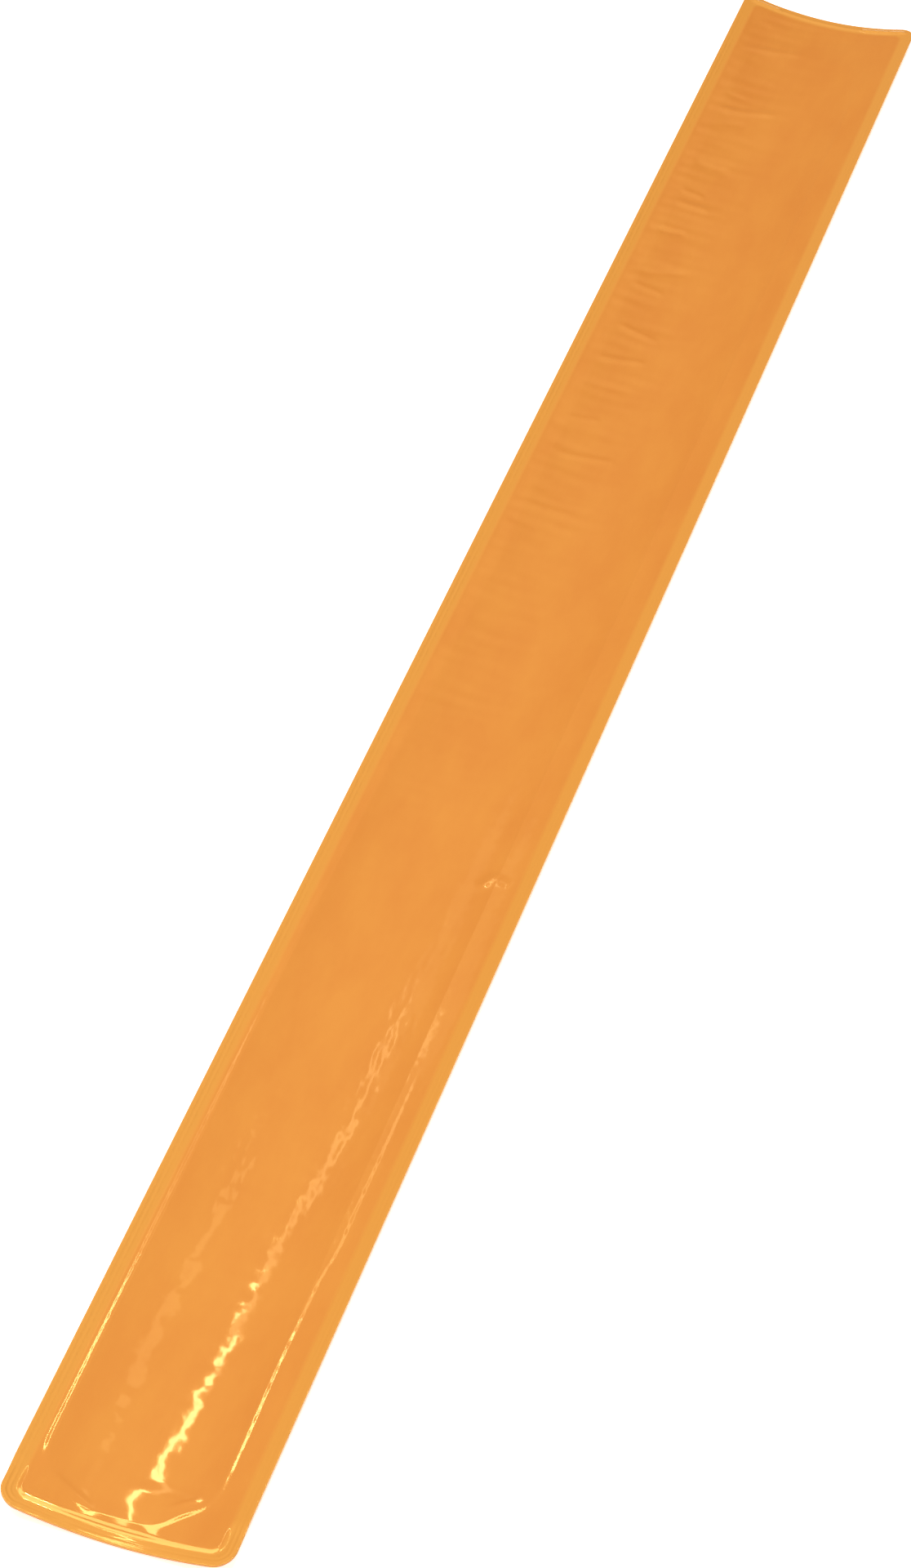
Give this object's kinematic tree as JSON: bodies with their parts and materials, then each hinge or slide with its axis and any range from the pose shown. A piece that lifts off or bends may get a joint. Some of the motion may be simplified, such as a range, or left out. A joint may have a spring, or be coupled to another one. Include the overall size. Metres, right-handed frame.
{
  "type": "reflective snap band",
  "caption": "Long thin orange safety band, troughed lengthwise and lying straight, with two welded plastic films over a sprung steel blade, that coils round an arm or ankle.",
  "frame": {"origin": "on the back of the band, under the middle of its length and width, where it would rest on a table", "axes": "+X along the band, +Y across its width, +Z out of the reflective front face; the back, which ends up inside the coil, faces -Z"},
  "size_m": [0.34, 0.03, 0.003],
  "materials": {
    "front_film": "glossy clear film over orange prismatic reflective sheet, finely rippled",
    "spring_blade": "bright rolled spring steel",
    "back_film": "plain orange film with a fine matt grain"
  },
  "bodies": {
    "link_1": {"front_film_1": "front_film", "spring_blade_1": "spring_blade", "back_film_1": "back_film"},
    "link_2": {"front_film_2": "front_film", "spring_blade_2": "spring_blade", "back_film_2": "back_film"},
    "link_3": {"front_film_3": "front_film", "spring_blade_3": "spring_blade", "back_film_3": "back_film"},
    "link_4": {"front_film_4": "front_film", "spring_blade_4": "spring_blade", "back_film_4": "back_film"},
    "link_5": {"front_film_5": "front_film", "spring_blade_5": "spring_blade", "back_film_5": "back_film"},
    "link_6": {"front_film_6": "front_film", "spring_blade_6": "spring_blade", "back_film_6": "back_film"},
    "link_7": {"front_film_7": "front_film", "spring_blade_7": "spring_blade", "back_film_7": "back_film"},
    "link_8": {"front_film_8": "front_film", "spring_blade_8": "spring_blade", "back_film_8": "back_film"},
    "link_9": {"front_film_9": "front_film", "spring_blade_9": "spring_blade", "back_film_9": "back_film"},
    "link_10": {"front_film_10": "front_film", "spring_blade_10": "spring_blade", "back_film_10": "back_film"},
    "link_11": {"front_film_11": "front_film", "spring_blade_11": "spring_blade", "back_film_11": "back_film"},
    "link_12": {"front_film_12": "front_film", "spring_blade_12": "spring_blade", "back_film_12": "back_film"},
    "link_13": {"front_film_13": "front_film", "spring_blade_13": "spring_blade", "back_film_13": "back_film"},
    "link_14": {"front_film_14": "front_film", "spring_blade_14": "spring_blade", "back_film_14": "back_film"},
    "link_15": {"front_film_15": "front_film", "spring_blade_15": "spring_blade", "back_film_15": "back_film"},
    "link_16": {"front_film_16": "front_film", "spring_blade_16": "spring_blade", "back_film_16": "back_film"},
    "link_17": {"front_film_17": "front_film", "spring_blade_17": "spring_blade", "back_film_17": "back_film"},
    "link_18": {"front_film_18": "front_film", "spring_blade_18": "spring_blade", "back_film_18": "back_film"},
    "link_19": {"front_film_19": "front_film", "spring_blade_19": "spring_blade", "back_film_19": "back_film"}
  },
  "joints": [
    {"name": "bend_1", "type": "hinge", "parent": "link_2", "child": "link_1", "pos_m": [-0.1521, 0, 0], "axis": [0, -1, 0], "range_deg": [0, 28.85]},
    {"name": "bend_2", "type": "hinge", "parent": "link_3", "child": "link_2", "pos_m": [-0.13421, 0, 0], "axis": [0, -1, 0], "range_deg": [0, 29.64]},
    {"name": "bend_3", "type": "hinge", "parent": "link_4", "child": "link_3", "pos_m": [-0.11632, 0, 0], "axis": [0, -1, 0], "range_deg": [0, 30.44]},
    {"name": "bend_4", "type": "hinge", "parent": "link_5", "child": "link_4", "pos_m": [-0.09842, 0, 0], "axis": [0, -1, 0], "range_deg": [0, 31.23]},
    {"name": "bend_5", "type": "hinge", "parent": "link_6", "child": "link_5", "pos_m": [-0.08053, 0, 0], "axis": [0, -1, 0], "range_deg": [0, 32.03]},
    {"name": "bend_6", "type": "hinge", "parent": "link_7", "child": "link_6", "pos_m": [-0.06263, 0, 0], "axis": [0, -1, 0], "range_deg": [0, 32.83]},
    {"name": "bend_7", "type": "hinge", "parent": "link_8", "child": "link_7", "pos_m": [-0.04474, 0, 0], "axis": [0, -1, 0], "range_deg": [0, 33.62]},
    {"name": "bend_8", "type": "hinge", "parent": "link_9", "child": "link_8", "pos_m": [-0.02684, 0, 0], "axis": [0, -1, 0], "range_deg": [0, 34.41]},
    {"name": "bend_9", "type": "hinge", "parent": "link_10", "child": "link_9", "pos_m": [-0.00895, 0, 0], "axis": [0, -1, 0], "range_deg": [0, 35.21]},
    {"name": "bend_10", "type": "hinge", "parent": "link_10", "child": "link_11", "pos_m": [0.00895, 0, 0], "axis": [0, 1, 0], "range_deg": [0, 36]},
    {"name": "bend_11", "type": "hinge", "parent": "link_11", "child": "link_12", "pos_m": [0.02684, 0, 0], "axis": [0, 1, 0], "range_deg": [0, 36.8]},
    {"name": "bend_12", "type": "hinge", "parent": "link_12", "child": "link_13", "pos_m": [0.04474, 0, 0], "axis": [0, 1, 0], "range_deg": [0, 37.6]},
    {"name": "bend_13", "type": "hinge", "parent": "link_13", "child": "link_14", "pos_m": [0.06263, 0, 0], "axis": [0, 1, 0], "range_deg": [0, 38.39]},
    {"name": "bend_14", "type": "hinge", "parent": "link_14", "child": "link_15", "pos_m": [0.08053, 0, 0], "axis": [0, 1, 0], "range_deg": [0, 39.18]},
    {"name": "bend_15", "type": "hinge", "parent": "link_15", "child": "link_16", "pos_m": [0.09842, 0, 0], "axis": [0, 1, 0], "range_deg": [0, 39.98]},
    {"name": "bend_16", "type": "hinge", "parent": "link_16", "child": "link_17", "pos_m": [0.11632, 0, 0], "axis": [0, 1, 0], "range_deg": [0, 40.78]},
    {"name": "bend_17", "type": "hinge", "parent": "link_17", "child": "link_18", "pos_m": [0.13421, 0, 0], "axis": [0, 1, 0], "range_deg": [0, 41.57]},
    {"name": "bend_18", "type": "hinge", "parent": "link_18", "child": "link_19", "pos_m": [0.1521, 0, 0], "axis": [0, 1, 0], "range_deg": [0, 42.37]}
  ],
  "couplings": [
    {"joint": "bend_1", "follows": "bend_10", "ratio": 0.8013},
    {"joint": "bend_2", "follows": "bend_10", "ratio": 0.8233},
    {"joint": "bend_3", "follows": "bend_10", "ratio": 0.8454},
    {"joint": "bend_4", "follows": "bend_10", "ratio": 0.8675},
    {"joint": "bend_5", "follows": "bend_10", "ratio": 0.8896},
    {"joint": "bend_6", "follows": "bend_10", "ratio": 0.9117},
    {"joint": "bend_7", "follows": "bend_10", "ratio": 0.9338},
    {"joint": "bend_8", "follows": "bend_10", "ratio": 0.9558},
    {"joint": "bend_9", "follows": "bend_10", "ratio": 0.9779},
    {"joint": "bend_11", "follows": "bend_10", "ratio": 1.0221},
    {"joint": "bend_12", "follows": "bend_10", "ratio": 1.0442},
    {"joint": "bend_13", "follows": "bend_10", "ratio": 1.0662},
    {"joint": "bend_14", "follows": "bend_10", "ratio": 1.0883},
    {"joint": "bend_15", "follows": "bend_10", "ratio": 1.1104},
    {"joint": "bend_16", "follows": "bend_10", "ratio": 1.1325},
    {"joint": "bend_17", "follows": "bend_10", "ratio": 1.1546},
    {"joint": "bend_18", "follows": "bend_10", "ratio": 1.1767}
  ]
}
